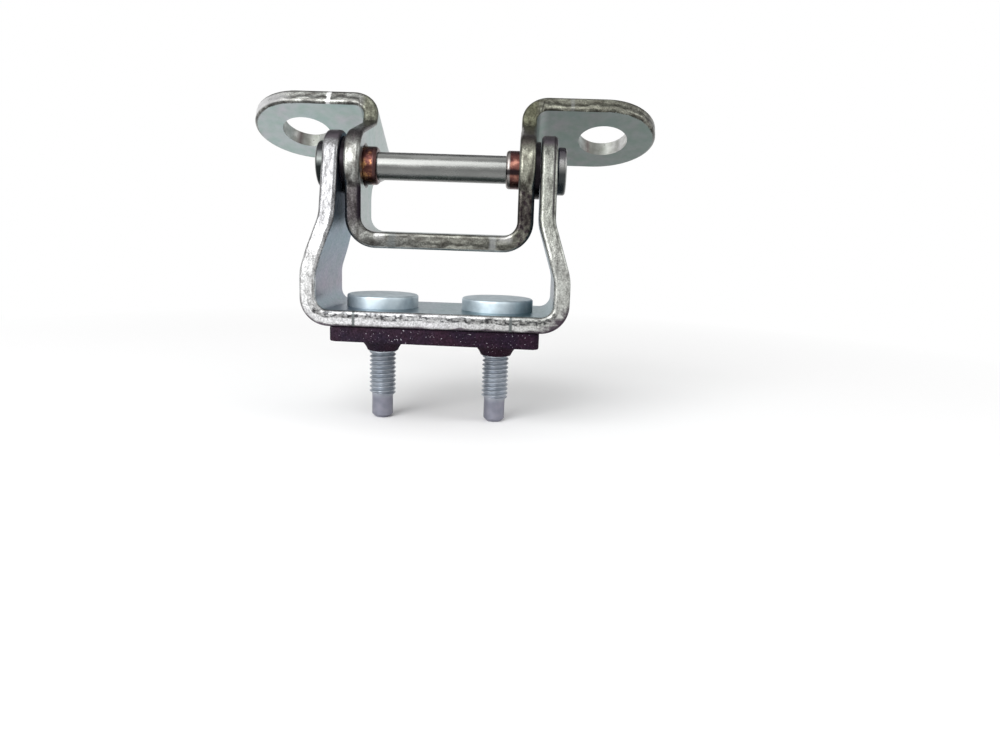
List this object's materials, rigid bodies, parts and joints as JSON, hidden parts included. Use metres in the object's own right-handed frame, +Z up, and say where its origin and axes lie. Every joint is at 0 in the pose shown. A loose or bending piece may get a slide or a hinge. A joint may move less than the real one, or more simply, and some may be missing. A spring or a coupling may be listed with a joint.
{
  "type": "tailgate hinge",
  "caption": "U-shaped steel hinge bracket on threaded studs and a foam gasket; a second bracket with sloping drilled flanges swings between its arms on a riveted pin.",
  "frame": {"origin": "midway between the two studs, on the plane where their nuts seat, just under the gasket's collars", "axes": "+X along the hinge pin, +Y to the rear, the way the flanges reach, +Z up from the studs to the pin"},
  "size_m": [0.0996, 0.0502, 0.0745],
  "materials": {
    "zinc_steel": "bright zinc plate with a faint blue and olive tint",
    "pin_steel": "polished steel",
    "bush_bronze": "dark copper-brown bronze",
    "stud_steel": "zinc plate, blue-grey",
    "foam": "matt purple-black closed-cell foam"
  },
  "bodies": {
    "body_side": {"body_bracket": "zinc_steel", "stud_left": "stud_steel", "stud_right": "stud_steel", "gasket": "foam", "hinge_pin": "pin_steel"},
    "tailgate_side": {"tailgate_bracket": "zinc_steel", "bush_left": "bush_bronze", "bush_right": "bush_bronze"}
  },
  "joints": [
    {"name": "tailgate_swing", "type": "hinge", "parent": "body_side", "child": "tailgate_side", "pos_m": [0, 0, 0.0415], "axis": [1, 0, 0], "range_deg": [-60, 110]}
  ]
}
